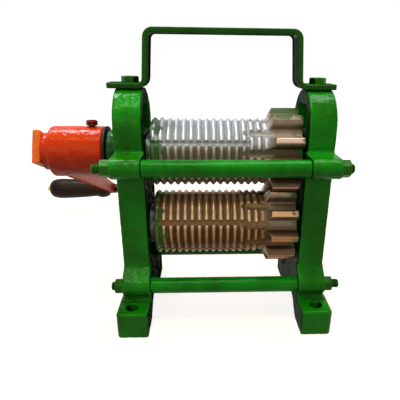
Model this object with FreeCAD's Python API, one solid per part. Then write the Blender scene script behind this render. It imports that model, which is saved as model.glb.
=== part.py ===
import FreeCAD, Part
import math
import os

# Manual sugarcane juicer, millimetres, +Z up, the floor at z = 0.
# X runs along the rollers with the crank on the -X side, and the user stands on the -Y side.
# The origin is on the floor, in the middle of the four foot holes.

V = FreeCAD.Vector

# Driving dimensions of the standing structure
inner_gap = 203.0          # between the inner faces of the two side frames
plate = 35.0               # thickness of a side frame
half_depth = 48.0          # from the middle of a frame to its front face
crown_top = 311.5          # highest point of a frame
crown_flat = 1.0           # how far the crown is machined down for the carry handle
foot_reach = 94.0          # from the middle of a frame to the end of a foot
foot_height = 35.5
foot_width = 40.5
foot_hole_r = 8.25
foot_hole_x = 123.5
foot_hole_y = 76.0
foot_arch_half = 52.0      # half the span of the arch under a frame
foot_arch_rise = 26.0
window_half = 28.5         # half the width of the bearing window
window_round = 9.0         # corner radius at the top of the window
crown_wall = 19.5          # metal left between the window and the crown
edge_round = 2.2           # rounding of the cast outline

# Rollers and their bearings
upper_z = 229.0
lower_z = 129.0
roller_left = -94.5
roller_right = 97.8
ring_pitch = 9.5
ring_count = 15
first_crest = -90.5
crest_r = 44.5
crest_flat = 1.6           # narrow land on top of each ring
valley_r = 40.5
flute_count = 6
flute_r = 4.0
flute_floor_r = 40.0
flute_end = 32.0           # where the flutes stop, short of the scoops' full depth
tooth_count = 10
gear_outer_r = 57.5
gear_root_r = 40.5
gear_start = 54.5          # where the ends of the teeth rise out of the rings
gear_full = 62.0           # where the teeth reach their full height
gear_bevel = 2.0
pressure_angle = math.radians(20.0)
backlash = 5.5             # play between the teeth on the pitch circle
scoop_r = 4.4              # the cutter that runs out of each tooth space into the rings
scoop_level_end = 44.0     # it is at full depth to here
scoop_length = 22.0        # and climbs out of the rings over this length
shaft_r = 16.0
shaft_bevel = 1.5
running_gap = 0.06         # radial play of a shaft in its bush
key_half_width = 5.0
key_low = 11.0             # from the shaft's axis to the underside of a key
key_high = 19.3            # and to its top, inside the roller
key_reach = 40.0           # half the length of a key
key_slack = 0.1            # over the key in the roller's keyway
bush_r = 21.0
flange_r = 24.0
flange_thick = 3.3
end_play = 0.4             # axial play of a turning face against a standing one
block_half_height = 28.0
block_slack = 0.2
boss_r = 28.0              # round boss of the crank side block
boss_end = 151.5
oil_hole_r = 2.5

# Tie rods
upper_tie_y = 76.0
upper_tie_z = 225.0
lower_tie_y = 57.0
lower_tie_z = 57.0
lug_inner = 99.5
lug_outer = 137.0
upper_lug_r = 12.5
lower_lug_r = 13.0
lower_lug_top = 81.0       # where the lower lug meets the front face of a frame
tube_r = 10.65
tube_bore_r = 6.75
stud_r = 6.0
stud_bevel = 1.2
stud_long_end = 157.0
stud_short_end = 152.0
nut_flats = 19.0
nut_thick = 10.0

# Carry handle
bar_thick = 6.4
bar_half_width = 19.0
handle_top = 380.0
handle_foot_end = 143.0
handle_leg_bottom = 100.0  # outer face of a leg at the bottom
handle_leg_top = 95.0
handle_bend_r = 12.0       # outside radius of every bend
handle_shift = -3.0        # the bent bar sits this far to the crank side on its bolts
bolt_head = 7.6
bolt_depth = 17.0          # drilled depth of the bolt holes in the crowns
bolt_short = 2.0           # left free under the end of a bolt
handle_corner = 5.0        # rounding of the foot ends, seen from above

# Crank
collar_r = 33.0
hub_r = 33.0
hub_start = -156.0
hub_end = -225.0
neck_r = 24.5
spigot_r = 10.0
arm_inner = -234.5
arm_outer = -245.0
arm_hub_half = 21.5        # half the arm's width at the hub
arm_grip_half = 11.0       # and at the grip
arm_lift = 1.5             # the arm's middle line passes this far over the shaft's axis
arm_front = 22.0           # from the shaft's axis to the square cut end of the arm
arm_rim = 1.5              # rounding of the arm's edges
hub_bevel = 2.0
collar_bevel = 1.4
throw = 400.0
throw_angle = math.radians(24.5)
set_screw_x = -172.0
set_screw_r = 4.0
set_screw_flats = 13.0
set_screw_head = 6.2
set_screw_stand = 1.4      # the head's underside stands this far off the hub
shaft_crank_end = -219.0
grip_length = 132.0
pin_r = 6.0
pin_gap = 0.08
pin_head_r = 7.2
pin_head = 6.5
pin_collar_r = 10.0
pin_collar = 1.6           # thickness of the collar between the arm and the grip
pin_nut_thick = 10.0
grip_bead_end = 0.21       # how far along the grip the bead by the arm ends
grip_bead_r = 20.6
grip_waist_r = 17.6
grip_swell_r = 22.3

# Places worked out from the dimensions above
x_in = inner_gap / 2
x_out = x_in + plate
crown_z = crown_top - half_depth
window_top = crown_top - crown_wall
window_bottom = upper_z - block_half_height
pitch_r = (upper_z - lower_z) / 2
base_r = pitch_r * math.cos(pressure_angle)
plate_mid = (x_in + x_out) / 2
crank_y = throw * math.cos(throw_angle)
crank_z = upper_z - throw * math.sin(throw_angle)
# A tooth of the upper roller, in line with a flute, stands this far from the top towards the user.
# The lower roller makes it up to five and a half tooth pitches, so that its spaces receive those teeth,
# less a little of the play.
upper_turn = math.radians(64.3)
lower_turn = math.radians(5.5 * 360.0 / tooth_count - 1.7) - upper_turn
nut_chamfer = 1.0


def along_x(radius, x0, x1, y=0.0, z=0.0):
    """A round bar along X."""
    return Part.makeCylinder(radius, abs(x1 - x0), V(min(x0, x1), y, z), V(1, 0, 0))


def box(x0, x1, y0, y1, z0, z1):
    low = V(min(x0, x1), min(y0, y1), min(z0, z1))
    return Part.makeBox(abs(x1 - x0), abs(y1 - y0), abs(z1 - z0), low)


def prism_x(points, x0, x1):
    """A straight sided outline of (y, z) points, carried along X."""
    wire = Part.makePolygon([V(x0, y, z) for y, z in points + points[:1]])
    return Part.Face(wire).extrude(V(x1 - x0, 0, 0))


def turned(profile, y=0.0, z=0.0):
    """A closed profile of (x, radius) points, turned about a line along X."""
    wire = Part.makePolygon([V(x, 0, r) for x, r in profile + profile[:1]])
    solid = Part.Face(wire).revolve(V(0, 0, 0), V(1, 0, 0), 360)
    solid.translate(V(0, y, z))
    return solid


def hexagon(flats, x0, x1, y, z):
    """A hexagonal bar along X with its corners bevelled at the outer end, x1."""
    corner = flats / math.sqrt(3)
    side = 1 if x1 > x0 else -1
    angles = [math.radians(30 + 60 * k) for k in range(6)]
    bar = prism_x([(y + corner * math.cos(a), z + corner * math.sin(a)) for a in angles], x0, x1)
    bevel = turned([(x0, 0), (x0, corner + 1), (x1 - side * nut_chamfer, corner + 0.3),
                    (x1, flats / 2 - 0.3), (x1, 0)], y, z)
    return bar.common(bevel)


def upright(shape, x, y, z):
    """Turns a shape made along X about the origin to stand along Z, its outer end up."""
    shape = shape.copy()
    shape.rotate(V(0, 0, 0), V(0, 1, 0), -90)
    shape.translate(V(x, y, z))
    return shape


def solid_of(shape):
    """The one solid of a finished piece."""
    shape = shape.removeSplitter()
    return shape.Solids[0] if len(shape.Solids) == 1 else shape


def mirrored(shape):
    return shape.mirror(V(0, 0, 0), V(1, 0, 0))


def side_frame():
    """The right side frame: arched plate, bearing window and bore, four lugs and two feet."""
    outline = Part.Wire([
        Part.LineSegment(V(x_in, half_depth, 0), V(x_in, half_depth, crown_z)).toShape(),
        Part.Arc(V(x_in, half_depth, crown_z), V(x_in, 0, crown_top),
                 V(x_in, -half_depth, crown_z)).toShape(),
        Part.LineSegment(V(x_in, -half_depth, crown_z), V(x_in, -half_depth, 0)).toShape(),
        Part.LineSegment(V(x_in, -half_depth, 0), V(x_in, half_depth, 0)).toShape()])
    body = Part.Face(outline).extrude(V(plate, 0, 0))
    rims = [e for e in body.Edges if e.BoundBox.XLength < 0.01 and e.CenterOfMass.z > 1]
    body = body.makeFillet(edge_round, rims)
    for side in (-1, 1):
        face = side * half_depth
        foot = box(x_in, x_in + foot_width, 0, side * foot_reach, 0, foot_height)
        corners = [e for e in foot.Edges if abs(e.CenterOfMass.y - side * foot_reach) < 0.1
                   and (abs(e.CenterOfMass.z - foot_height) < 0.1 or e.CenterOfMass.x > x_out)
                   and e.CenterOfMass.z > 1]
        foot = foot.makeFillet(4.0, corners)
        ty = side * upper_tie_y
        upper = box(lug_inner, lug_outer, side * (half_depth - 4), ty, upper_tie_z - upper_lug_r,
                    upper_tie_z + upper_lug_r)
        upper = upper.fuse(along_x(upper_lug_r, lug_inner, lug_outer, ty, upper_tie_z))
        ty = side * lower_tie_y
        out, rise = lower_tie_y - half_depth, lower_lug_top - lower_tie_z
        turn = math.acos(lower_lug_r / math.hypot(out, rise)) - math.atan2(out, rise)
        touch = (side * (lower_tie_y + lower_lug_r * math.sin(turn)),
                 lower_tie_z + lower_lug_r * math.cos(turn))
        lower = prism_x([(side * (half_depth - 4), lower_lug_top), (face, lower_lug_top), touch,
                         (ty, lower_tie_z), (side * (lower_tie_y + 6), foot_height - 2),
                         (side * (half_depth - 4), foot_height - 2)], lug_inner, lug_outer)
        lower = lower.fuse(along_x(lower_lug_r, lug_inner, lug_outer, ty, lower_tie_z))
        body = body.fuse([foot, upper, lower])
    arch_r = (foot_arch_half ** 2 + foot_arch_rise ** 2) / (2 * foot_arch_rise)
    body = body.cut(along_x(arch_r, x_in - 1, x_in + foot_width + 1, 0, foot_arch_rise - arch_r))
    window = box(x_in - 1, x_out + 1, -window_half, window_half, window_bottom, window_top)
    shoulders = [e for e in window.Edges if abs(e.CenterOfMass.z - window_top) < 0.1
                 and abs(abs(e.CenterOfMass.y) - window_half) < 0.1]
    window = window.makeFillet(window_round, shoulders)
    flat = box(x_in - 1, x_out + 1, -half_depth, half_depth, crown_top - crown_flat, crown_top + 1)
    bolt_low = V(plate_mid, 0, crown_top - crown_flat - bolt_depth)
    bolt_hole = Part.makeCylinder(stud_r, bolt_depth + 1, bolt_low)
    cutters = [window, flat, bolt_hole, along_x(bush_r, x_in - 1, x_out + 1, 0, lower_z)]
    for side in (-1, 1):
        hole_low = V(foot_hole_x, side * foot_hole_y, -1)
        cutters.append(Part.makeCylinder(foot_hole_r, foot_height + 2, hole_low))
        cutters.append(along_x(stud_r, lug_inner - 1, lug_outer + 1, side * upper_tie_y, upper_tie_z))
        cutters.append(along_x(stud_r, lug_inner - 1, lug_outer + 1, side * lower_tie_y, lower_tie_z))
    return solid_of(body.cut(cutters))


def upper_block(outer_x, with_boss):
    """Bearing block of the right frame's window, its bore across the full thickness."""
    block = box(x_in, x_out, -window_half + block_slack, window_half - block_slack,
                window_bottom, upper_z + block_half_height)
    if with_boss:
        block = block.fuse(along_x(boss_r, x_out - 1, outer_x, 0, upper_z))
    block = block.cut(along_x(bush_r, x_in - 1, outer_x + 1, 0, upper_z))
    oil = Part.makeCylinder(oil_hole_r, block_half_height + 1, V(plate_mid, 0, upper_z))
    return solid_of(block.cut(oil))


def bush(outer_x, z):
    """Flanged bush, pressed in from the inside of the right frame."""
    x0 = x_in - flange_thick
    bore = shaft_r + running_gap
    profile = [(x0, bore), (x0, flange_r), (x_in, flange_r), (x_in, bush_r), (outer_x, bush_r),
               (outer_x, bore)]
    body = turned(profile, 0, z)
    if z == upper_z:
        body = body.cut(Part.makeCylinder(oil_hole_r, bush_r + 1, V(plate_mid, 0, z)))
    return solid_of(body)


def involute(angle):
    return math.tan(angle) - angle


def tooth_half_angle(r):
    """Half the angle that a tooth takes up at radius r. Under the base circle its sides are radial."""
    on_pitch = (math.pi * pitch_r / tooth_count - backlash / 2) / (2 * pitch_r)
    pressure_there = math.acos(base_r / max(r, base_r))
    return on_pitch + involute(pressure_angle) - involute(pressure_there)


def tooth_space(x0, x1):
    """One space between two teeth, centred on +Z: involute sides, radial foot and round floor."""
    def at(r, side):
        half = math.pi / tooth_count - tooth_half_angle(r)
        return V(x0, r * math.sin(side * half), r * math.cos(half))
    out = gear_outer_r + 1.5
    mid = (base_r + out) / 2
    edges = [Part.LineSegment(at(gear_root_r, -1), at(base_r, -1)).toShape(),
             Part.Arc(at(base_r, -1), at(mid, -1), at(out, -1)).toShape(),
             Part.Arc(at(out, -1), V(x0, 0, out), at(out, 1)).toShape(),
             Part.Arc(at(out, 1), at(mid, 1), at(base_r, 1)).toShape(),
             Part.LineSegment(at(base_r, 1), at(gear_root_r, 1)).toShape(),
             Part.Arc(at(gear_root_r, 1), V(x0, 0, gear_root_r), at(gear_root_r, -1)).toShape()]
    return Part.Face(Part.Wire(edges)).extrude(V(x1 - x0, 0, 0))


def roller_blank():
    """The turned form: fifteen rings, a low sixteenth one and the disc that the teeth are cut from."""
    profile = [(roller_left, shaft_r), (roller_left, valley_r)]
    for k in range(ring_count):
        crest = first_crest + k * ring_pitch
        if k:
            profile.append((crest - ring_pitch / 2, valley_r))
        profile.append((crest - crest_flat / 2, crest_r))
        profile.append((crest + crest_flat / 2, crest_r))
    last = first_crest + ring_count * ring_pitch
    profile += [(last - ring_pitch / 2, valley_r), (last, crest_r - 1.5), (gear_start, valley_r + 1.5)]
    profile += [(gear_full, gear_outer_r), (roller_right - gear_bevel, gear_outer_r)]
    profile += [(roller_right, gear_outer_r - gear_bevel), (roller_right, shaft_r)]
    return turned(profile)


def key_bar(x0, x1, grow=0.0):
    """The key as it lies under +Z, or the slot for it when it is let to grow."""
    return box(x0, x1, -key_half_width, key_half_width, key_low, key_high + grow)


def scoop():
    """A round cutter above +Z that leaves a tooth space level and then climbs out of the rings."""
    middle = scoop_r + gear_root_r
    level = along_x(scoop_r, scoop_level_end, gear_full, 0, middle)
    path = V(-scoop_length, 0, crest_r - gear_root_r)
    overlap = scoop_r * path.z / path.Length
    climb = Part.makeCylinder(scoop_r, path.Length * 1.3, V(scoop_level_end + overlap, 0, middle), path)
    return level.fuse(climb)


def spun(shape, degrees):
    shape = shape.copy()
    shape.rotate(V(0, 0, 0), V(1, 0, 0), degrees)
    return shape


def roller():
    """A roller on the X axis with a flute and a tooth on top of each other at +Z."""
    cutters = [key_bar(roller_left - 1, roller_right + 1, key_slack)]
    flute = along_x(flute_r, roller_left - 1, flute_end, 0, flute_floor_r + flute_r)
    space = tooth_space(gear_start - 4.5, roller_right + 1)
    for k in range(flute_count):
        cutters.append(spun(flute, 360.0 * k / flute_count))
    for k in range(tooth_count):
        turn = 360.0 * (k + 0.5) / tooth_count
        cutters.append(spun(space.fuse(scoop()), turn))
    return solid_of(roller_blank().cut(cutters))


def placed_roller(shape, turn, z):
    """Turns a piece of a roller from the top towards the user and lifts it to its axis."""
    shape = spun(shape, math.degrees(turn))
    shape.translate(V(0, 0, z))
    return shape


def shaft(x0, x1):
    c = shaft_bevel
    bar = turned([(x0, 0), (x0, shaft_r - c), (x0 + c, shaft_r), (x1 - c, shaft_r), (x1, shaft_r - c),
                  (x1, 0)])
    return bar.cut(key_bar(-key_reach, key_reach))


def carry_handle():
    """Flat bar bent four times, with its feet on the crowns and its legs leaning in to the top."""
    z0 = crown_top - crown_flat
    t = bar_thick
    lean = math.atan2(handle_leg_bottom - handle_leg_top, handle_top - z0)
    def at_leg(z):
        return handle_leg_bottom - (z - z0) * math.tan(lean)
    outer = [(handle_foot_end, z0 + t), (at_leg(z0 + t), z0 + t), (at_leg(handle_top), handle_top)]
    across = t / math.cos(lean)
    inner = [(at_leg(handle_top - t) - across, handle_top - t), (at_leg(z0) - across, z0),
             (handle_foot_end, z0)]
    outline = outer + [(-x, z) for x, z in reversed(outer)]
    outline += [(-x, z) for x, z in reversed(inner)] + inner
    wire = Part.makePolygon([V(x, -bar_half_width, z) for x, z in outline + outline[:1]])
    bar = Part.Face(wire).extrude(V(0, 2 * bar_half_width, 0))
    def bends(pairs):
        return [e for e in bar.Edges if e.BoundBox.YLength > 30 and
                any(math.hypot(abs(e.CenterOfMass.x) - x, e.CenterOfMass.z - z) < 0.1 for x, z in pairs)]
    bar = bar.makeFillet(handle_bend_r, bends([outer[2], inner[1]]))
    bar = bar.makeFillet(handle_bend_r - t, bends([outer[1], inner[0]]))
    ends = [e for e in bar.Edges if e.BoundBox.ZLength > t / 2
            and abs(abs(e.CenterOfMass.x) - handle_foot_end) < 0.1]
    bar = bar.makeFillet(handle_corner, ends)
    bar.translate(V(handle_shift, 0, 0))
    for side in (-1, 1):
        bar = bar.cut(Part.makeCylinder(stud_r, 3 * t, V(side * plate_mid, 0, z0 - t)))
    return solid_of(bar)


def handle_bolt(side):
    """Hex bolt standing on the handle's foot, its shank down in the crown."""
    z0 = crown_top - crown_flat
    head = upright(hexagon(nut_flats, 0, bolt_head, 0, 0), side * plate_mid, 0, z0 + bar_thick)
    low = z0 - bolt_depth + bolt_short
    shank = Part.makeCylinder(stud_r, z0 + bar_thick - low, V(side * plate_mid, 0, low))
    return solid_of(head.fuse(shank))


def tie_stud(y, z, x0, x1):
    c = stud_bevel
    return turned([(x0, 0), (x0, stud_r - c), (x0 + c, stud_r), (x1 - c, stud_r), (x1, stud_r - c), (x1, 0)],
                  y, z)


def spacer(y, z):
    tube = along_x(tube_r, -lug_inner, lug_inner, y, z)
    return tube.cut(along_x(tube_bore_r, -lug_inner - 1, lug_inner + 1, y, z))


def tie_nuts(y0, z):
    """The four nuts of a front and a rear tie rod."""
    nuts = []
    for side in (-1, 1):
        for y in (-y0, y0):
            nut = hexagon(nut_flats, side * lug_outer, side * (lug_outer + nut_thick), y, z)
            nuts.append(nut.cut(along_x(stud_r, -lug_outer - 20, lug_outer + 20, y, z)))
    return Part.makeCompound(nuts)


def crank_hub():
    """Turned hub with a neck and a spigot that carries the arm, bored for the shaft and set screw."""
    c = hub_bevel
    body = turned([(hub_start, 0), (hub_start, hub_r - c), (hub_start - c, hub_r), (hub_end + c, hub_r),
                   (hub_end, hub_r - c), (hub_end, neck_r), (arm_inner, neck_r), (arm_inner, spigot_r),
                   (arm_outer, spigot_r), (arm_outer, 0)], 0, upper_z)
    body = body.cut(along_x(shaft_r, hub_start + 1, shaft_crank_end, 0, upper_z))
    return solid_of(body.cut(Part.makeCylinder(set_screw_r, 40, V(set_screw_x, 0, upper_z))))


def set_screw():
    """Hex headed screw that holds the hub on the shaft, its end on the shaft's surface."""
    head = hexagon(set_screw_flats, 0, set_screw_head, 0, 0)
    stand = hub_r + set_screw_stand
    shank = along_x(set_screw_r, shaft_r - stand, 0.5)
    return solid_of(upright(head.fuse(shank), set_screw_x, 0, upper_z + stand))


def crank_arm():
    """Flat bar that points back and down at rest, tapered to the grip, cut off square at the hub."""
    hub = V(arm_outer, 0, upper_z + arm_lift)
    far = V(arm_outer, crank_y, crank_z)
    along = (far - hub).normalize()
    over = V(0, -along.z, along.y)
    front = hub - along * arm_front
    rise = over * arm_hub_half
    tip = over * arm_grip_half
    edges = [Part.LineSegment(front + rise, far + tip).toShape(),
             Part.Arc(far + tip, far + along * arm_grip_half, far - tip).toShape(),
             Part.LineSegment(far - tip, front - rise).toShape(),
             Part.LineSegment(front - rise, front + rise).toShape()]
    bar = Part.Face(Part.Wire(edges)).extrude(V(arm_inner - arm_outer, 0, 0))
    rims = [e for e in bar.Edges if e.BoundBox.XLength < 0.01]
    bar = bar.makeFillet(arm_rim, rims)
    bar = bar.cut(along_x(spigot_r, arm_outer - 1, arm_inner + 1, 0, upper_z))
    return solid_of(bar.cut(along_x(pin_r, arm_outer - 1, arm_inner + 1, crank_y, crank_z)))


def crank_pin():
    """Rod through the grip: head outboard, collar against the arm, threaded end for the nut."""
    thread_end = arm_inner + pin_nut_thick + 2
    inner = arm_outer - pin_collar
    outer = inner - end_play - grip_length - end_play
    head = outer - pin_head
    profile = [(thread_end, 0), (thread_end, pin_r), (arm_outer, pin_r), (arm_outer, pin_collar_r),
               (inner, pin_collar_r), (inner, pin_r), (outer, pin_r), (outer, pin_head_r),
               (head + 2.0, pin_head_r), (head, pin_head_r - 2.4), (head, 0)]
    return turned(profile, crank_y, crank_z)


def grip():
    """Turned grip: a bead next to the arm, a waist, a swelling and a round end, bored for the pin."""
    x0 = arm_outer - pin_collar - end_play
    def at(share, r):
        return V(x0 - share * grip_length, 0, r)
    bore = pin_r + pin_gap
    widest = at(0.78, grip_swell_r)
    shoulder = at(0.93, grip_swell_r - 2.3)
    edges = [Part.LineSegment(at(0, bore), at(0, 16.0)).toShape(),
             Part.Arc(at(0, 16.0), at(grip_bead_end / 2, grip_bead_r),
                      at(grip_bead_end, grip_waist_r)).toShape(),
             Part.Arc(at(grip_bead_end, grip_waist_r), at(0.5, grip_swell_r - 1.5), widest).toShape(),
             Part.Arc(widest, at(0.865, grip_swell_r - 0.5), shoulder).toShape(),
             Part.Arc(shoulder, at(0.975, 16.2), at(1, 10.5)).toShape(),
             Part.LineSegment(at(1, 10.5), at(1, bore)).toShape(),
             Part.LineSegment(at(1, bore), at(0, bore)).toShape()]
    solid = Part.Face(Part.Wire(edges)).revolve(V(0, 0, 0), V(1, 0, 0), 360)
    solid.translate(V(0, crank_y, crank_z))
    return solid


def thrust_washer(z):
    """Steel washer between the left end of a roller and the flange of its bush."""
    x0 = -(x_in - flange_thick - end_play)
    return along_x(flange_r - 1.5, x0, roller_left, 0, z).cut(along_x(shaft_r, x0 - 1, roller_left + 1, 0, z))


def crank_collar():
    """Turned collar on the shaft between the crank side bearing and the hub."""
    x0 = -(boss_end + end_play)
    c = collar_bevel
    return turned([(x0, shaft_r), (x0, collar_r - c), (x0 - c, collar_r), (hub_start + c, collar_r),
                   (hub_start, collar_r - c), (hub_start, shaft_r)], 0, upper_z)


os.makedirs("parts", exist_ok=True)
pieces = {}

right_frame = side_frame()
pieces["right_frame"] = right_frame
pieces["left_frame"] = mirrored(right_frame)
pieces["carry_handle"] = carry_handle()
pieces["handle_bolts"] = Part.makeCompound([handle_bolt(-1), handle_bolt(1)])

for name, side in (("front", -1), ("rear", 1)):
    upper_y = side * upper_tie_y
    lower_y = side * lower_tie_y
    pieces["upper_" + name + "_spacer"] = spacer(upper_y, upper_tie_z)
    pieces["lower_" + name + "_spacer"] = spacer(lower_y, lower_tie_z)
    pieces["upper_" + name + "_stud"] = tie_stud(upper_y, upper_tie_z, -stud_long_end, stud_short_end)
    pieces["lower_" + name + "_stud"] = tie_stud(lower_y, lower_tie_z, -stud_short_end, stud_long_end)
pieces["upper_tie_nuts"] = tie_nuts(upper_tie_y, upper_tie_z)
pieces["lower_tie_nuts"] = tie_nuts(lower_tie_y, lower_tie_z)

pieces["right_upper_block"] = upper_block(x_out, False)
pieces["left_upper_block"] = mirrored(upper_block(boss_end, True))
pieces["right_upper_bush"] = bush(x_out, upper_z)
pieces["left_upper_bush"] = mirrored(bush(boss_end, upper_z))
pieces["right_lower_bush"] = bush(x_out, lower_z)
pieces["left_lower_bush"] = mirrored(bush(x_out, lower_z))

grooved = roller()
for name, turn, z, start in (("upper", upper_turn, upper_z, shaft_crank_end),
                             ("lower", lower_turn, lower_z, -x_out)):
    pieces[name + "_roller"] = placed_roller(grooved, turn, z)
    pieces[name + "_shaft"] = placed_roller(shaft(start, x_out), turn, z)
    pieces[name + "_roller_key"] = placed_roller(key_bar(-key_reach, key_reach), turn, z)
    pieces[name + "_thrust_washer"] = thrust_washer(z)

pieces["crank_collar"] = crank_collar()
pieces["crank_hub"] = crank_hub()
pieces["hub_set_screw"] = set_screw()
pieces["crank_arm"] = crank_arm()
pieces["crank_pin"] = crank_pin()
pin_nut = hexagon(nut_flats, arm_inner, arm_inner + pin_nut_thick, crank_y, crank_z)
pieces["crank_pin_nut"] = pin_nut.cut(along_x(pin_r, arm_inner - 1, arm_inner + 20, crank_y, crank_z))
pieces["grip"] = grip()

for name, shape in pieces.items():
    shape.exportStep("parts/" + name + ".step")
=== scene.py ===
import bpy
import math
import numpy as np
from mathutils import Matrix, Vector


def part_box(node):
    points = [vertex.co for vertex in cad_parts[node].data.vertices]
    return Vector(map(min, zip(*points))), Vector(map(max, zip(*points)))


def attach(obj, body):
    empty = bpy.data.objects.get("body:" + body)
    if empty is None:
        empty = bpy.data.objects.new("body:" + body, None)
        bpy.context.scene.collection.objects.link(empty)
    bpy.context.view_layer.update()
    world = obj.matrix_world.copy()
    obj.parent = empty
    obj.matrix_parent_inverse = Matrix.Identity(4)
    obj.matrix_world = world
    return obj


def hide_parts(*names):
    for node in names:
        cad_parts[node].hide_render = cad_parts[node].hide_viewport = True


# Manual sugarcane juicer, metres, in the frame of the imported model: X along the rollers with the crank
# on the -X side, the user on the -Y side, +Z up from the floor.
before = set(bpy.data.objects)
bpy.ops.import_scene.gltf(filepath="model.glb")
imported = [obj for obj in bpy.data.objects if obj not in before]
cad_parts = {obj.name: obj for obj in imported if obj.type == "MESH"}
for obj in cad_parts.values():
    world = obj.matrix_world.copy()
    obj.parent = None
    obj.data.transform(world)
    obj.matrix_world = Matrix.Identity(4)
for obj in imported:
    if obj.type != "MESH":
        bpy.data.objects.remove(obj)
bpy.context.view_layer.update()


# Side frames
# Two arched grey iron castings with feet and lugs, brushed with thick green enamel that softened the
# cast edges and dried in lumps, so that the light breaks up on it.
def linear(code):
    """Turns an sRGB hex colour into the linear values that a shader works in."""
    parts = [int(code[i:i + 2], 16) / 255 for i in (1, 3, 5)]
    return [c / 12.92 if c <= 0.04045 else ((c + 0.055) / 1.055) ** 2.4 for c in parts] + [1.0]


def add(tree, kind, settings=None, **inputs):
    """Adds a node, sets its properties, and fills or links each input by its name or as i and a number."""
    made = tree.nodes.new(kind)
    for key, value in (settings or {}).items():
        setattr(made, key, value)
    for key, value in inputs.items():
        place = int(key[1:]) if key[0] == "i" and key[1:].isdigit() else key.replace("_", " ")
        if isinstance(value, bpy.types.NodeSocket):
            tree.links.new(value, made.inputs[place])
        else:
            made.inputs[place].default_value = value
    return made


def new_material(name, **values):
    """A material with its shader's own sockets filled; gives back the material, its tree and shader."""
    mat = bpy.data.materials.new(name)
    mat.use_nodes = True
    shader = mat.node_tree.nodes["Principled BSDF"]
    for key, value in values.items():
        shader.inputs[key.replace("_", " ")].default_value = value
    return mat, mat.node_tree, shader


def ramp(tree, value, stops):
    """A colour ramp from a list of places and hex colours."""
    made = add(tree, "ShaderNodeValToRGB", None, Fac=value)
    while len(made.color_ramp.elements) < len(stops):
        made.color_ramp.elements.new(0.5)
    for element, (place, code) in zip(made.color_ramp.elements, stops):
        element.position = place
        element.color = linear(code)
    return made.outputs["Color"]


def lumps(points, size, seed):
    """Random heights from -1 to 1: values on a cubic lattice of the given size, blended by smooth steps."""
    table = np.random.default_rng(seed).uniform(-1, 1, (32, 32, 32))
    place = points / size
    cell = np.floor(place).astype(int)
    f = place - cell
    f = f * f * (3 - 2 * f)
    total = np.zeros(len(points))
    for dx in (0, 1):
        for dy in (0, 1):
            for dz in (0, 1):
                share = (f[:, 0] if dx else 1 - f[:, 0]) * (f[:, 1] if dy else 1 - f[:, 1])
                share = share * (f[:, 2] if dz else 1 - f[:, 2])
                i = (cell + (dx, dy, dz)) % 32
                total += share * table[i[:, 0], i[:, 1], i[:, 2]]
    return total


def grid_piece(name, points, body, mat, close_u=True, close_v=True, attributes=None):
    """A mesh from an array of points, rows by columns, each direction closed or open, faces outward."""
    rows, cols = points.shape[:2]
    index = np.arange(rows * cols).reshape(rows, cols)
    next_row = np.roll(index, -1, 0) if close_u else index[1:]
    here = index if close_u else index[:-1]
    quads = np.stack([here, next_row, np.roll(next_row, -1, 1), np.roll(here, -1, 1)], -1)
    if not close_v:
        quads = quads[:, :-1]
    quads = quads.reshape(-1, 4)
    flat = points.reshape(-1, 3)
    a, b, c, d = (flat[quads[:, k]] for k in range(4))
    volume = np.einsum("ij,ij->", np.cross(c - a, d - b), (a + b + c + d - 4 * flat.mean(0)))
    if volume < 0:
        quads = quads[:, ::-1]
    mesh = bpy.data.meshes.new(name)
    mesh.from_pydata(flat, [], quads.tolist())
    mesh.polygons.foreach_set("use_smooth", np.ones(len(mesh.polygons), bool))
    for key, values in (attributes or {}).items():
        mesh.attributes.new(key, "FLOAT", "POINT").data.foreach_set("value", values.reshape(-1))
    mesh.validate()
    mesh.update()
    piece = bpy.data.objects.new(name, mesh)
    bpy.context.scene.collection.objects.link(piece)
    mesh.materials.append(mat)
    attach(piece, body)
    return piece


def cast_piece(node, body, mat, voxel, softness, lump_height, lump_size, seed):
    """A copy of a node's mesh, merged, cut into voxels, its edges softened by averaging neighbours,
    and then each point moved along its normal by random lumps as brushed enamel leaves them."""
    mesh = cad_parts[node].data.copy()
    piece = bpy.data.objects.new(node + "_cast", mesh)
    bpy.context.scene.collection.objects.link(piece)
    bpy.context.view_layer.objects.active = piece
    weld = piece.modifiers.new("weld", "WELD")
    weld.merge_threshold = 1e-5
    remesh = piece.modifiers.new("remesh", "REMESH")
    remesh.mode = "VOXEL"
    remesh.voxel_size = voxel
    smooth = piece.modifiers.new("smooth", "SMOOTH")
    smooth.factor = 0.5
    smooth.iterations = softness
    shape = piece.evaluated_get(bpy.context.evaluated_depsgraph_get())
    finished = bpy.data.meshes.new_from_object(shape)
    piece.modifiers.clear()
    piece.data = finished
    count = len(finished.vertices)
    at = np.empty(count * 3)
    normal = np.empty(count * 3)
    finished.vertices.foreach_get("co", at)
    finished.vertices.foreach_get("normal", normal)
    at = at.reshape(-1, 3)
    normal = normal.reshape(-1, 3)
    height = lumps(at, lump_size, seed) + 0.5 * lumps(at, lump_size / 2.3, seed + 1)
    low, high = (np.array(c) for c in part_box(node))
    at = np.clip(at + normal * (height * lump_height)[:, None], low, high)
    finished.vertices.foreach_set("co", at.reshape(-1))
    finished.polygons.foreach_set("use_smooth", np.ones(len(finished.polygons), bool))
    finished.update()
    finished.materials.clear()
    finished.materials.append(mat)
    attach(piece, body)
    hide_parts(node)
    return piece


def dull_edge(tree, shader, level, gloss_share=1.0):
    """Gloss of dusty enamel: full where it faces the eye, fading where it turns away, as dust hides it,
    and then multiplied by a given share, which enamel() lowers on the inward faces that it paints with
    shade."""
    turned = add(tree, "ShaderNodeLayerWeight", None, Blend=0.5)
    gloss = add(tree, "ShaderNodeMapRange", None, Value=turned.outputs["Facing"], From_Min=0.45,
                From_Max=0.85, To_Min=level, To_Max=0.0)
    gloss = add(tree, "ShaderNodeMath", {"operation": "MULTIPLY"}, i0=gloss_share, i1=gloss.outputs[0])
    tree.links.new(gloss.outputs[0], shader.inputs["Specular IOR Level"])


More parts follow.
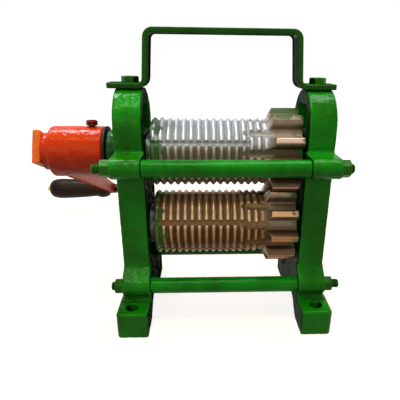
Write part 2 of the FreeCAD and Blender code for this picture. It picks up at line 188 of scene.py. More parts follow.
def enamel(name, bright, dark, rough, lump_mm, lump_bump):
    """Brushed alkyd enamel over iron: glossy, its tone varying at random, its bumps a few mm wide.
    Faces that look inward, to the rollers, are painted dark as shade between the frames and lose their
    gloss."""
    mat, tree, shader = new_material(name, Roughness=rough, IOR=1.5, Specular_Tint=(0.55, 1.0, 0.5, 1.0))
    place = add(tree, "ShaderNodeTexCoord").outputs["Object"]
    tone = add(tree, "ShaderNodeTexNoise", None, Vector=place, Scale=1000 / 55, Detail=3.0, Roughness=0.6)
    colour = ramp(tree, tone.outputs["Fac"], [(0.32, dark), (0.62, bright)])
    parts = add(tree, "ShaderNodeSeparateXYZ", None, Vector=place)
    facing = add(tree, "ShaderNodeNewGeometry").outputs["True Normal"]
    normal = add(tree, "ShaderNodeSeparateXYZ", None, Vector=facing)
    # Painted shade: inward faces are darkened towards #06200A and their gloss is taken away.
    inward = add(tree, "ShaderNodeMath", {"operation": "MULTIPLY"}, i0=parts.outputs["X"],
                 i1=normal.outputs["X"])
    inward_shade = add(tree, "ShaderNodeMapRange", None, Value=inward.outputs[0], From_Min=-0.05, From_Max=-0.08,
                 To_Max=0.9)
    gloss_share = add(tree, "ShaderNodeMath", {"operation": "SUBTRACT"}, i0=1.0, i1=inward_shade.outputs[0])
    dull_edge(tree, shader, 0.14, gloss_share.outputs[0])
    colour = add(tree, "ShaderNodeMix", {"data_type": "RGBA"}, i0=inward_shade.outputs[0], i6=colour,
                 i7=linear("#06200A")).outputs[2]
    tree.links.new(colour, shader.inputs["Base Color"])
    broad = add(tree, "ShaderNodeTexNoise", None, Vector=place, Scale=1000 / lump_mm, Detail=2.0,
                Roughness=0.5)
    fine = add(tree, "ShaderNodeTexNoise", None, Vector=place, Scale=3500 / lump_mm, Detail=2.0,
               Roughness=0.6)
    both = add(tree, "ShaderNodeMath", {"operation": "MULTIPLY_ADD"}, i0=fine.outputs["Fac"], i1=0.3,
               i2=broad.outputs["Fac"])
    bump = add(tree, "ShaderNodeBump", None, Strength=lump_bump, Distance=0.0012, Height=both.outputs[0])
    tree.links.new(bump.outputs["Normal"], shader.inputs["Normal"])
    return mat


frame_enamel = enamel("green_enamel_on_casting", "#12880E", "#145C00", 0.12, 7.0, 0.7)
for node, seed in (("left_frame", 3), ("right_frame", 11)):
    piece = cast_piece(node, "frame_assembly", frame_enamel, 0.0014, 3, 0.00022, 0.006, seed)


# Bearing blocks and bushes of the upper roller, and the bushes of the lower one
# Cast blocks that slide down into the frames' windows, the left one with a round boss, enamelled green.
# Flanged iron bushes are pressed in from the inside and stay bare.
block_enamel = enamel("green_enamel_on_block", "#2E6238", "#143A1C", 0.16, 6.0, 0.6)
for node, seed in (("left_upper_block", 21), ("right_upper_block", 27)):
    piece = cast_piece(node, "frame_assembly", block_enamel, 0.001, 2, 0.00016, 0.005, seed)


def turned_metal(name, bright, dark, rough, ring_mm):
    """Turned iron or steel with an oily film: fine rings left by the lathe tool and darker blotches."""
    mat, tree, shader = new_material(name, Metallic=1.0, Roughness=rough)
    place = add(tree, "ShaderNodeTexCoord").outputs["Object"]
    tone = add(tree, "ShaderNodeTexNoise", None, Vector=place, Scale=1000 / 12, Detail=4.0, Roughness=0.7)
    colour = ramp(tree, tone.outputs["Fac"], [(0.35, dark), (0.6, bright)])
    tree.links.new(colour, shader.inputs["Base Color"])
    stretched = add(tree, "ShaderNodeMapping", None, Vector=place, Scale=(1000 / ring_mm, 20.0, 20.0))
    marks = add(tree, "ShaderNodeTexNoise", None, Vector=stretched.outputs[0], Scale=1.0, Detail=1.0)
    bump = add(tree, "ShaderNodeBump", None, Strength=0.35, Distance=0.0002, Height=marks.outputs["Fac"])
    tree.links.new(bump.outputs["Normal"], shader.inputs["Normal"])
    return mat


bush_iron = turned_metal("turned_bush_iron", "#7C837C", "#3C4038", 0.4, 0.9)
for node in ("left_upper_bush", "right_upper_bush", "left_lower_bush", "right_lower_bush"):
    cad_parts[node].material_slots[0].material = bush_iron


# Grooved rollers
# Cast iron rollers turned with fifteen rings for grip, six flutes across them, and ten gear teeth cut
# in the right end, whose spaces run out as scoops through the last rings. Bare metal: crests are polished
# by use, grooves are darker with oil, brown dirt and painted shade, and the left ends have caught green
# paint.
roller_ends = (-0.0945, 0.0978)
ring_pitch = 0.0095
first_crest = -0.0905
ring_count = 15
crest_r = 0.0445
valley_r = 0.0405
gear_r = 0.0575
last_ring_end = 0.0535
last_ring_drop = 0.0015
gear_start = 0.0545
gear_full = 0.062
end_bevel_start = 0.0955
end_bevel = 0.0023
flute_count = 6
flute_r = 0.004
flute_centre = 0.044
tooth_count = 10
pressure_angle = math.radians(20)
pitch_r = 0.050
base_r = pitch_r * math.cos(pressure_angle)
backlash = 0.0055
scoop_r = 0.0056
scoop_floor = 0.0393
scoop_level_end = 0.040
scoop_length = 0.020
flute_end = 0.032
upper_z = 0.229
lower_z = 0.129
upper_turn = math.radians(64.3)
lower_turn = math.radians(5.5 * 360 / tooth_count - 1.7) - upper_turn


def fold(angle, count, shift=0.0):
    """The angle from the nearest of a number of evenly spaced places round the axis."""
    step = 2 * math.pi / count
    return (angle - shift * step + step / 2) % step - step / 2


def trough(angle, height, radius):
    """Radius of the floor that a round cutter along the axis leaves, by the cosine rule: the near root
    of r^2 - 2 r h cos(a) + h^2 = R^2, and a large number where the cutter misses."""
    inside = radius ** 2 - (height * np.sin(angle)) ** 2
    near = height * np.cos(angle) - np.sqrt(np.maximum(inside, 0))
    return np.where((inside > 0) & (np.abs(angle) < 1.2), near, 1.0)


def tooth_surface(angle):
    """Radius of a gear tooth at an angle from its middle: land, involute side, radial foot, root."""
    r = np.linspace(base_r, gear_r, 24)
    inv = lambda a: np.tan(a) - a
    on_pitch = (math.pi * pitch_r / tooth_count - backlash / 2) / (2 * pitch_r)
    half = on_pitch + inv(pressure_angle) - inv(np.arccos(base_r / r))
    wide = np.concatenate([half[::-1], [half[0] + 0.012, half[0] + 0.05]])
    high = np.concatenate([r[::-1], [valley_r + 0.001, valley_r]])
    return np.interp(np.abs(angle), wide, high)


def roller_radius(x, a):
    """Height field of a roller: the turned blank, lowered to each flute, tooth space and scoop."""
    crest = first_crest + np.round((x - first_crest) / ring_pitch).clip(0, ring_count) * ring_pitch
    u = np.abs(x - crest) / (ring_pitch / 2)
    top = np.where(crest > first_crest + (ring_count - 0.5) * ring_pitch, crest_r - last_ring_drop, crest_r)
    rings = valley_r + (top - valley_r) * (0.5 + 0.5 * np.cos(math.pi * np.clip(u, 0, 1))) ** 0.75
    neck = valley_r + last_ring_drop
    rise = np.interp(x, [gear_start, gear_full, end_bevel_start, roller_ends[1]],
                     [neck, gear_r, gear_r, gear_r - end_bevel])
    blank = np.where(x < gear_start, np.where(x > last_ring_end, neck, rings), rise)
    flute = np.where(x < flute_end, trough(fold(a, flute_count), flute_centre, flute_r), 1.0)
    gear = np.where(x > gear_start - 0.0045, tooth_surface(fold(a, tooth_count)), 1.0)
    climb = (np.maximum(scoop_level_end - x, 0) / scoop_length) ** 2 * (crest_r - scoop_floor)
    scoop = trough(fold(a, tooth_count, 0.5), scoop_floor + scoop_r + climb, scoop_r)
    scoop = np.where(x < gear_full, scoop, 1.0)
    cast = np.minimum(np.minimum(blank, flute), gear)
    return np.minimum(cast, scoop), scoop < cast - 0.0001


ring_x = first_crest + (np.arange(-8, 16 * 14 + 1) / 14) * ring_pitch - ring_pitch * 0.02
ring_x = ring_x[(ring_x > roller_ends[0] + 0.0002) & (ring_x < gear_start - 0.0002)]
gear_x = np.array([0.0545, 0.0552, 0.0565, 0.058, 0.0595, 0.061, 0.062, 0.0628, 0.065, 0.067, 0.071, 0.077,
                   0.084, 0.090, 0.094, 0.0955, 0.0965, 0.0973, 0.0978])
roller_x = np.concatenate([[roller_ends[0]], ring_x, gear_x])
teeth = 2 * math.pi / tooth_count * np.arange(tooth_count)
flank = np.array([0.053, 0.072, 0.092, 0.110, 0.125, 0.136, 0.143, 0.150, 0.157, 0.20, 0.225, 0.245,
                  0.27, 0.29])
flute_edge = np.array([0.0, 0.03, 0.055, 0.073, 0.085, 0.092, 0.099])
flutes = 2 * math.pi / flute_count * np.arange(flute_count)
around = np.concatenate([(teeth[:, None] + side * flank).ravel() for side in (-1, 1)]
                        + [(flutes[:, None] + side * flute_edge).ravel() for side in (-1, 1)]
                        + [2 * math.pi * np.arange(150) / 150])
around = np.sort(around % (2 * math.pi))
around = around[np.concatenate([[True], np.diff(around) > 0.006])]


def roller_points(axis_z, turn, seed):
    """The height field wrapped round X: y = r sin, z = r cos of the angle from the top, with dents of a
    tenth of a millimetre. Rows inside the ends close it down to the bore."""
    x, a = np.meshgrid(roller_x, around, indexing="ij")
    r, scooped = roller_radius(x, a)
    depth = np.clip((r - valley_r) / (crest_r - valley_r), 0, 1)
    land = np.clip((r - gear_r + 0.0022) / 0.0012, 0, 1)
    painted = (a - turn + math.pi) % (2 * math.pi) - math.pi
    reach = np.where(painted > -0.35, 0.0075, 0.0022)
    painted = np.where(np.abs(painted + 0.15) < 0.45, np.clip((r - gear_r + reach) / 0.0012, 0, 1), 0)
    flat = np.stack([x, r * np.sin(a - turn), r * np.cos(a - turn)], -1).reshape(-1, 3)
    rough = lumps(flat, 0.0022, seed).reshape(r.shape) + lumps(flat, 0.007, seed + 1).reshape(r.shape)
    r = r + np.where(r < gear_r - 0.0006, 0.00005, 0.00002) * rough
    r = np.minimum(r, gear_r)
    ends = [(roller_ends[1], 0.041), (roller_ends[1], 0.030), (roller_ends[1], 0.016),
            (roller_ends[0], 0.016), (roller_ends[0], 0.030), (roller_ends[0], 0.0395)]
    x = np.concatenate([x] + [np.full((1, len(around)), e[0]) for e in ends])
    r = np.concatenate([r] + [np.minimum(np.full((1, len(around)), e[1]), r[-1:]) for e in ends])
    depth = np.concatenate([depth, np.full((len(ends), len(around)), 0.4)])
    blank = np.zeros((len(ends), len(around)))
    scooped, land, painted = (np.concatenate([values * 1.0, blank]) for values in (scooped, land, painted))
    attributes = {"height": depth, "scooped": scooped, "land": land, "painted": painted}
    return np.stack([x, r * np.sin(a[:1] - turn), axis_z + r * np.cos(a[:1] - turn)], -1), attributes


def grooved_iron(name, crest, mid, groove, tooth, cut, patina, low_tint, tint_top):
    """Turned cast iron, polished on the crests, darker in the grooves with stains and painted shade, darker
    and browner below a given height, the teeth dark but rubbed pale on their lands. Thin green paint lies
    at the left end, on the teeth's ends and on the teeth that looked up when the frames were painted."""
    mat, tree, shader = new_material(name, Metallic=1.0)
    place = add(tree, "ShaderNodeTexCoord").outputs["Object"]
    parts = add(tree, "ShaderNodeSeparateXYZ", None, Vector=place)
    height = add(tree, "ShaderNodeAttribute", {"attribute_name": "height"})
    blotch = add(tree, "ShaderNodeTexNoise", None, Vector=place, Scale=1000 / 9, Detail=5.0, Roughness=0.7)
    mixed = add(tree, "ShaderNodeMath", {"operation": "MULTIPLY_ADD"}, i0=blotch.outputs["Fac"], i1=patina,
                i2=height.outputs["Fac"])
    shade = add(tree, "ShaderNodeMath", {"operation": "SUBTRACT"}, i0=mixed.outputs[0], i1=patina / 2)
    # Darker towards the grooves: oil and dirt, and painted shade in the grooves between the rings.
    metal = ramp(tree, shade.outputs[0], [(0.08, groove), (0.5, mid), (0.88, crest)])
    gear_part = add(tree, "ShaderNodeMapRange", None, Value=parts.outputs["X"], From_Min=0.052,
                    From_Max=0.060)
    land = add(tree, "ShaderNodeAttribute", {"attribute_name": "land"})
    rubbed = add(tree, "ShaderNodeMath", {"operation": "MULTIPLY_ADD"}, i0=blotch.outputs["Fac"], i1=0.6,
                 i2=land.outputs["Fac"])
    tooth_tone = ramp(tree, rubbed.outputs[0], [(0.15, "#8A7C70"), (0.5, "#74644C"), (1.2, tooth)])
    metal = add(tree, "ShaderNodeMix", {"data_type": "RGBA"}, i0=gear_part.outputs[0], i6=metal,
                i7=tooth_tone)
    scooped = add(tree, "ShaderNodeAttribute", {"attribute_name": "scooped"})
    metal = add(tree, "ShaderNodeMix", {"data_type": "RGBA"}, i0=scooped.outputs["Fac"],
                i6=metal.outputs[2], i7=linear(cut))
    # Darker and browner below a given height.
    under = add(tree, "ShaderNodeMath", {"operation": "MULTIPLY_ADD"}, i0=blotch.outputs["Fac"], i1=0.012,
                i2=parts.outputs["Z"])
    below = add(tree, "ShaderNodeMapRange", None, Value=under.outputs[0], From_Min=tint_top + 0.008,
                From_Max=tint_top, To_Max=0.8)
    metal = add(tree, "ShaderNodeMix", {"data_type": "RGBA", "blend_type": "MULTIPLY"}, i0=below.outputs[0],
                i6=metal.outputs[2], i7=linear(low_tint))
    drip = add(tree, "ShaderNodeTexNoise", None, Vector=place, Scale=1000 / 16, Detail=3.0, Roughness=0.6)
    left = add(tree, "ShaderNodeMapRange", None, Value=parts.outputs["X"], From_Min=-0.092, From_Max=-0.055,
               To_Min=0.22, To_Max=-0.25)
    right = add(tree, "ShaderNodeMapRange", None, Value=parts.outputs["X"], From_Min=0.066, From_Max=0.097,
                To_Min=-0.25, To_Max=0.12)
    reach = add(tree, "ShaderNodeMath", {"operation": "MAXIMUM"}, i0=left.outputs[0], i1=right.outputs[0])
    painted = add(tree, "ShaderNodeAttribute", {"attribute_name": "painted"})
    splash = add(tree, "ShaderNodeMath", {"operation": "MULTIPLY_ADD"}, i0=painted.outputs["Fac"], i1=0.60,
                 i2=-0.25)
    reach = add(tree, "ShaderNodeMath", {"operation": "MAXIMUM"}, i0=reach.outputs[0], i1=splash.outputs[0])
    spread = add(tree, "ShaderNodeMath", {"operation": "ADD"}, i0=drip.outputs["Fac"], i1=reach.outputs[0])
    film = add(tree, "ShaderNodeMapRange", None, Value=spread.outputs[0], From_Min=0.60, From_Max=0.66)
    paint = add(tree, "ShaderNodeMath", {"operation": "MULTIPLY"}, i0=film.outputs[0], i1=0.9)
    colour = add(tree, "ShaderNodeMix", {"data_type": "RGBA"}, i0=paint.outputs[0], i6=metal.outputs[2],
                 i7=linear("#1C5A14"))
    tree.links.new(colour.outputs[2], shader.inputs["Base Color"])
    bare = add(tree, "ShaderNodeMath", {"operation": "MULTIPLY_ADD"}, i0=paint.outputs[0], i1=-0.8, i2=0.8)
    tree.links.new(bare.outputs[0], shader.inputs["Metallic"])
    worn = add(tree, "ShaderNodeMapRange", None, Value=shade.outputs[0], From_Min=0.0, From_Max=1.0,
               To_Min=0.60, To_Max=0.38)
    tree.links.new(worn.outputs[0], shader.inputs["Roughness"])
    grit = add(tree, "ShaderNodeTexNoise", None, Vector=place, Scale=1000 / 1.6, Detail=3.0, Roughness=0.6)
    bump = add(tree, "ShaderNodeBump", None, Strength=0.25, Distance=0.0004, Height=grit.outputs["Fac"])
    tree.links.new(bump.outputs["Normal"], shader.inputs["Normal"])
    return mat


upper_iron = grooved_iron("grooved_iron_upper", "#C4C8CC", "#AEB2B4", "#8A8C8C", "#B8A090", "#8A8684", 0.6,
                          "#A48C60", 0.2455)
# The lower roller's colours are browner and darker than the upper one's; the darkness is painted shade
# under the upper roller and the frames.
lower_iron = grooved_iron("grooved_iron_lower", "#C4AC8C", "#9A7C58", "#70522E", "#C49C74", "#80684A", 0.6,
                          "#A08050", 0.1380)
for node, body, z, turn, mat, seed in (
        ("upper_roller", "crank_and_upper_roller", upper_z, upper_turn, upper_iron, 31),
        ("lower_roller", "lower_roller_unit", lower_z, lower_turn, lower_iron, 37)):
    points, attributes = roller_points(z, turn, seed)
    piece = grid_piece(node + "_grooved", points, body, mat, attributes=attributes)
    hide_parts(node)


# Shafts, keys and thrust washers
# Bright turned steel bars pressed through the rollers and held by keys, with a steel washer against each
# left bush. Their right ends are flush with the frame and show the lathe's rings.
shaft_steel = turned_metal("turned_shaft_steel", "#A09C94", "#5C564C", 0.35, 0.6)
for node in ("upper_shaft", "lower_shaft", "upper_roller_key", "lower_roller_key", "upper_thrust_washer",
             "lower_thrust_washer"):
    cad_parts[node].material_slots[0].material = shaft_steel


# Tie rods
# Twelve millimetre rods through the lugs, threaded at both ends, inside tubes that hold the frames
# apart, with a nut at each end. Everything was enamelled green after it was put together.
tie_reach = 0.0995
tube_r = 0.01065
tube_bore = 0.00675
stud_r = 0.006
thread_pitch = 0.00175
thread_depth = 0.0008
thread_length = 0.024
rod_chamfer = 0.0014
spacer_enamel = enamel("green_enamel_on_tube", "#0C8C10", "#0A6004", 0.14, 9.0, 0.6)
fastener_enamel = enamel("green_enamel_on_fasteners", "#2E7A16", "#124A08", 0.25, 2.5, 0.7)


def turned_grid(x, r, y, z, count, seed=None, lump=0.0):
    """A closed profile of places and radii, turned about a line along X, with lumps across it."""
    a = 2 * math.pi * np.arange(count) / count
    x = np.repeat(np.asarray(x, float)[:, None], count, 1)
    r = np.repeat(np.asarray(r, float)[:, None], count, 1)
    points = np.stack([x, y + r * np.sin(a), z + r * np.cos(a)], -1)
    if seed is not None:
        flat = points.reshape(-1, 3)
        height = lumps(flat, 0.006, seed) + 0.5 * lumps(flat, 0.0026, seed)
        away = lump * (height.reshape(r.shape) - 1.5)
        points = points + np.stack([np.zeros_like(r), away * np.sin(a), away * np.cos(a)], -1)
    return points


def round_corners(corners, radii, steps=6):
    """A profile's corners, each swapped for points on an arc that touches both of its sides."""
    out = []
    count = len(corners)
    for i in range(count):
        p = np.array(corners[i], float)
        if not radii[i]:
            out.append(p)
            continue
        a = np.array(corners[i - 1], float) - p
        b = np.array(corners[(i + 1) % count], float) - p
        a, b = a / np.linalg.norm(a), b / np.linalg.norm(b)
        half = math.acos(np.clip(a @ b, -1, 1)) / 2
        middle = p + (a + b) / np.linalg.norm(a + b) * radii[i] / math.sin(half)
        start = p + a * radii[i] / math.tan(half) - middle
        end = p + b * radii[i] / math.tan(half) - middle
        turn = math.atan2(start[0] * end[1] - start[1] * end[0], start @ end)
        for t in np.linspace(0, turn, steps):
            c, s = math.cos(t), math.sin(t)
            out.append(middle + (c * start[0] - s * start[1], s * start[0] + c * start[1]))
    return np.array(out)


def along(profile, step):
    """The profile with points added so that none are further apart than the step."""
    out = []
    for p, q in zip(profile, np.roll(profile, -1, 0)):
        count = max(1, int(np.ceil(np.linalg.norm(q - p) / step)))
        out.append(p + (q - p) * np.linspace(0, 1, count, endpoint=False)[:, None])
    return np.concatenate(out)


def thread(x, a, end, length):
    """Depth of a thread: a wave of one pitch a turn, faded out over the last pitch of its length."""
    wave = 0.5 + 0.5 * np.cos(2 * math.pi * (x / thread_pitch) + a)
    fade = np.clip((length - np.abs(end - x)) / thread_pitch, 0, 1)
    return thread_depth * wave * fade


rows = (("upper", 0.076, 0.225, (-0.157, 0.152)), ("lower", 0.057, 0.057, (-0.152, 0.157)))
for row, y0, z0, reach in rows:
    for where, side in (("front", -1), ("rear", 1)):
        y = side * y0
        corners = [(-tie_reach, tube_bore), (-tie_reach, tube_r),
                   (tie_reach, tube_r), (tie_reach, tube_bore)]
        profile = along(round_corners(corners, [0, 0.0007, 0.0007, 0], 4), 0.0022)
        points = turned_grid(profile[:, 0], profile[:, 1], y, z0, 48, 40 + side, 0.00005)
        piece = grid_piece("%s_%s_tube" % (row, where), points, "frame_assembly", spacer_enamel)
        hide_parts("%s_%s_spacer" % (row, where))
        ends = np.concatenate([[reach[0]], np.linspace(reach[0] + 0.0002, reach[0] + 0.026, 118),
                               np.linspace(reach[1] - 0.026, reach[1] - 0.0002, 118), [reach[1]]])
        a = 2 * math.pi * np.arange(28) / 28
        x, turn = np.meshgrid(ends, a, indexing="ij")
        r = stud_r - sum(thread(x, turn, end, thread_length) for end in reach)
        near = np.minimum(x - reach[0], reach[1] - x)
        r = np.minimum(r, stud_r - rod_chamfer + np.minimum(near, rod_chamfer))
        r = np.concatenate([np.full((1, 28), 0.00001), r, np.full((1, 28), 0.00001)])
        x = np.concatenate([x[:1], x, x[-1:]])
        points = np.stack([x, y + r * np.sin(a), z0 + r * np.cos(a)], -1)
        piece = grid_piece("%s_%s_rod" % (row, where), points, "frame_assembly", fastener_enamel,
                           close_u=False)
        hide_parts("%s_%s_stud" % (row, where))
for node in ("upper_tie_nuts", "lower_tie_nuts", "handle_bolts"):
    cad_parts[node].material_slots[0].material = fastener_enamel


# Carry handle
# Hot rolled flat bar of 38 by 6.4 mm, bent four times, its feet bolted on the crowns of the frames.
# Enamelled green.
bar_thick = 0.0064
bar_half = 0.019
crown_z = 0.3105
handle_top = 0.380
foot_end = 0.143
leg_bottom = 0.100
leg_top = 0.095
handle_shift = -0.003


def handle_section(half_width):
    """A rectangle with rounded corners: width across Y and thickness across the bar's path."""
    core = np.array([half_width - 0.0013, bar_thick / 2 - 0.0013])
    quarter = np.linspace(0, math.pi / 2, 5)
    out = []
    for k, (sy, sz) in enumerate(((1, 1), (-1, 1), (-1, -1), (1, -1))):
        t = quarter + k * math.pi / 2
        out.append(np.stack([sy * core[0] + 0.0013 * np.cos(t), sz * core[1] + 0.0013 * np.sin(t)], -1))
    return np.concatenate(out)


def handle_points():
    """The section carried along the bar's middle line: feet, legs that lean in, and top, with bends of
    8.8 mm in the middle of the bar. Near each end the width follows a corner round of 5 mm."""
    lean = math.atan2(leg_bottom - leg_top, handle_top - crown_z)
    mid_foot = crown_z + bar_thick / 2
    mid_top = handle_top - bar_thick / 2
    def leg(z):
        return leg_bottom - (z - crown_z) * math.tan(lean) - bar_thick / 2 / math.cos(lean)
    right = [(foot_end, mid_foot), (leg(mid_foot), mid_foot), (leg(mid_top), mid_top)]
    corners = right + [(-x, z) for x, z in reversed(right)]
    line = round_corners(corners, [0, 0.0088, 0.0088, 0.0088, 0.0088, 0], 9)
    line = along(line, 0.004)
    last = np.argmin(np.linalg.norm(line - (-foot_end, mid_foot), axis=1))
    line = line[:last + 1]
    ends = foot_end - np.array([0.0, 0.0003, 0.0008, 0.0015, 0.0025, 0.0036, 0.005])
    line = np.concatenate([np.stack([ends, np.full(7, mid_foot)], -1), line[line[:, 0] < foot_end - 0.006]])
    line = line[line[:, 0] > -foot_end + 0.006]
    line = np.concatenate([line, np.stack([-ends[::-1], np.full(7, mid_foot)], -1)])
    way = np.gradient(line, axis=0)
    way = way / np.linalg.norm(way, axis=1)[:, None]
    out = np.stack([-way[:, 1], way[:, 0]], -1)
    rows = []
    for p, n in zip(line, out):
        inset = foot_end - abs(p[0])
        half = bar_half - 0.005 + math.sqrt(max(0, 0.005 ** 2 - (0.005 - min(inset, 0.005)) ** 2))
        section = handle_section(half)
        rows.append(np.stack([p[0] + handle_shift + n[0] * section[:, 1], section[:, 0],
                              p[1] + n[1] * section[:, 1]], -1))
    points = np.stack(rows)
    centre = points.mean(1, keepdims=True)
    cap = np.repeat(centre, points.shape[1], 1)
    return np.concatenate([cap[:1], points, cap[-1:]])


handle_enamel = enamel("green_enamel_on_flat_bar", "#1E5A12", "#123C06", 0.3, 12.0, 0.35)
piece = grid_piece("carry_bar", handle_points(), "frame_assembly", handle_enamel, close_u=False)
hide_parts("carry_handle")


# Crank hub, collar and set screw
# Turned steel hub on the crank end of the upper shaft, held by a square set hex screw, with a black
# collar behind it and a neck welded to the arm. Thick red orange enamel with painted light on top and
# painted shade underneath.
hub_r = 0.033
neck_r = 0.0245
hub_ends = (-0.156, -0.225)
collar_ends = (-0.1519, -0.156)
arm_inner = -0.2345
arm_outer = -0.245
spigot_r = 0.010
shaft_r = 0.016
shaft_end = -0.219


def red_enamel(name, top, lit, shade, rough, high, low):
    """Red orange brushed enamel: painted light on top and painted shade below, and lumps 4 mm wide."""
    mat, tree, shader = new_material(name, Roughness=rough, IOR=1.5, Specular_Tint=(1.0, 0.75, 0.65, 1.0))
    dull_edge(tree, shader, 0.13)
    place = add(tree, "ShaderNodeTexCoord").outputs["Object"]
    parts = add(tree, "ShaderNodeSeparateXYZ", None, Vector=place)
    tone = add(tree, "ShaderNodeTexNoise", None, Vector=place, Scale=1000 / 14, Detail=4.0, Roughness=0.6)
    # Painted light and shade: lighter towards the top of the piece, darker towards its bottom.
    level = add(tree, "ShaderNodeMapRange", None, Value=parts.outputs["Z"], From_Min=low, From_Max=high,
                To_Min=-0.15, To_Max=0.55)
    mixed = add(tree, "ShaderNodeMath", {"operation": "MULTIPLY_ADD"}, i0=tone.outputs["Fac"], i1=0.6,
                i2=level.outputs[0])
    colour = ramp(tree, mixed.outputs[0], [(0.1, shade), (0.55, lit), (1.0, top)])
    tree.links.new(colour, shader.inputs["Base Color"])
    broad = add(tree, "ShaderNodeTexNoise", None, Vector=place, Scale=1000 / 6, Detail=3.0, Roughness=0.55)
    bump = add(tree, "ShaderNodeBump", None, Strength=0.7, Distance=0.0012, Height=broad.outputs["Fac"])
    tree.links.new(bump.outputs["Normal"], shader.inputs["Normal"])
    return mat


# The hub's enamel is painted lighter on top and darker underneath as light and shade.
hub_enamel = red_enamel("red_enamel_on_hub", "#C43C0C", "#C43200", "#720E00", 0.10, 0.262, 0.196)
corners = [(hub_ends[0], shaft_r), (hub_ends[0], hub_r), (hub_ends[1], hub_r), (hub_ends[1], neck_r),
           (arm_inner, neck_r), (arm_inner, spigot_r), (arm_outer, spigot_r), (arm_outer, 0.00001),
           (shaft_end, 0.00001), (shaft_end, shaft_r)]
profile = along(round_corners(corners, [0, 0.003, 0.0035, 0.002, 0, 0, 0.0008, 0, 0, 0], 7), 0.0018)
points = turned_grid(profile[:, 0], profile[:, 1], 0, upper_z, 120, 51, 0.0)
hub_lumps = lumps(points.reshape(-1, 3), 0.007, 52).reshape(points.shape[:2]) - 1
away = np.where(profile[:, 1:] > 0.019, 0.00022, 0) * hub_lumps
a = 2 * math.pi * np.arange(120) / 120
points = points + np.stack([np.zeros_like(away), away * np.sin(a), away * np.cos(a)], -1)
piece = grid_piece("turned_hub", points, "crank_and_upper_roller", hub_enamel)
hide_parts("crank_hub")

collar_iron, tree, shader = new_material("oiled_black_collar", Roughness=0.5)
dull_edge(tree, shader, 0.2)
place = add(tree, "ShaderNodeTexCoord").outputs["Object"]
grime = add(tree, "ShaderNodeTexNoise", None, Vector=place, Scale=1000 / 5, Detail=4.0)
colour = ramp(tree, grime.outputs["Fac"], [(0.4, "#040403"), (0.7, "#14120E")])
tree.links.new(colour, shader.inputs["Base Color"])
corners = [(collar_ends[0], shaft_r), (collar_ends[0], hub_r),
           (collar_ends[1], hub_r), (collar_ends[1], shaft_r)]
profile = along(round_corners(corners, [0, 0.0016, 0.0016, 0], 6), 0.003)
points = turned_grid(profile[:, 0], profile[:, 1], 0, upper_z, 96)
piece = grid_piece("turned_collar", points, "crank_and_upper_roller", collar_iron)
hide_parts("crank_collar")
# The set screw and the pin nut get the same painted light and shade by height.
screw_enamel = red_enamel("red_enamel_on_screw", "#7A1A0A", "#6A1206", "#1E0400", 0.3, 0.272, 0.25)
for node in ("hub_set_screw", "crank_pin_nut"):
    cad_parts[node].material_slots[0].material = screw_enamel


# Crank arm
# Flat steel bar, sawn off upright beyond the hub and rounded at the grip, its edges ground by hand and
# its hub end drilled for the spigot and welded. The same enamel, mottled, with painted light high up and
# painted shade low down.
arm_enamel = red_enamel("red_enamel_on_arm", "#F08030", "#C83C08", "#7A1A00", 0.2, 0.25, 0.02)
piece = cast_piece("crank_arm", "crank_and_upper_roller", arm_enamel, 0.0011, 2, 0.00016, 0.005, 61)


# Grip and its pin
# Turned hardwood, stained nearly black and polished by hands, turning on a steel pin with a riveted
# head, a collar by the arm and a nut behind it.
crank_y = 0.4 * math.cos(math.radians(24.5))
crank_z = upper_z - 0.4 * math.sin(math.radians(24.5))
grip_start = -0.247
grip_length = 0.132


def arc_through(p, q, s, count):
    """Points on the circle through three places, found from the meeting of two middle lines."""
    p, q, s = (np.array(v, float) for v in (p, q, s))
    rows = np.array([q - p, s - p])
    centre = np.linalg.solve(rows, [rows[0] @ (p + q) / 2, rows[1] @ (p + s) / 2])
    start = math.atan2(*(p - centre)[::-1])
    mid = (math.atan2(*(q - centre)[::-1]) - start) % (2 * math.pi)
    end = (math.atan2(*(s - centre)[::-1]) - start) % (2 * math.pi)
    if mid > end:
        end -= 2 * math.pi
    t = start + np.linspace(0, end, count, endpoint=False)
    return centre + np.linalg.norm(p - centre) * np.stack([np.cos(t), np.sin(t)], -1)


def grip_place(share, r):
    return (grip_start - share * grip_length, r)


profile = np.concatenate([
    [grip_place(0, 0.0061)],
    arc_through(grip_place(0, 0.016), grip_place(0.105, 0.0206), grip_place(0.21, 0.0176), 14),
    arc_through(grip_place(0.21, 0.0176), grip_place(0.5, 0.0208), grip_place(0.78, 0.0223), 22),
    arc_through(grip_place(0.78, 0.0223), grip_place(0.865, 0.0218), grip_place(0.93, 0.0200), 12),
    arc_through(grip_place(0.93, 0.0200), grip_place(0.975, 0.0162), grip_place(1, 0.0105), 10),
    [grip_place(1, 0.0105), grip_place(1, 0.0061)]])
grip_wood, tree, shader = new_material("dark_stained_hardwood", Roughness=0.34, IOR=1.45)
dull_edge(tree, shader, 0.12)
place = add(tree, "ShaderNodeTexCoord").outputs["Object"]
long_grain = add(tree, "ShaderNodeMapping", None, Vector=place, Scale=(40.0, 700.0, 700.0))
grain = add(tree, "ShaderNodeTexNoise", None, Vector=long_grain.outputs[0], Scale=1.0, Detail=5.0,
            Roughness=0.65)
tree.links.new(ramp(tree, grain.outputs["Fac"], [(0.3, "#0C0602"), (0.52, "#20120A"), (0.72, "#3C281C")]),
               shader.inputs["Base Color"])
bump = add(tree, "ShaderNodeBump", None, Strength=0.25, Distance=0.0004, Height=grain.outputs["Fac"])
tree.links.new(bump.outputs["Normal"], shader.inputs["Normal"])
points = turned_grid(profile[:, 0], profile[:, 1], crank_y, crank_z, 72)
piece = grid_piece("turned_grip", points, "crank_grip", grip_wood)
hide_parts("grip")
pin_steel = turned_metal("yellow_zinc_pin", "#D8C890", "#8A7848", 0.35, 0.5)
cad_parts["crank_pin"].material_slots[0].material = pin_steel
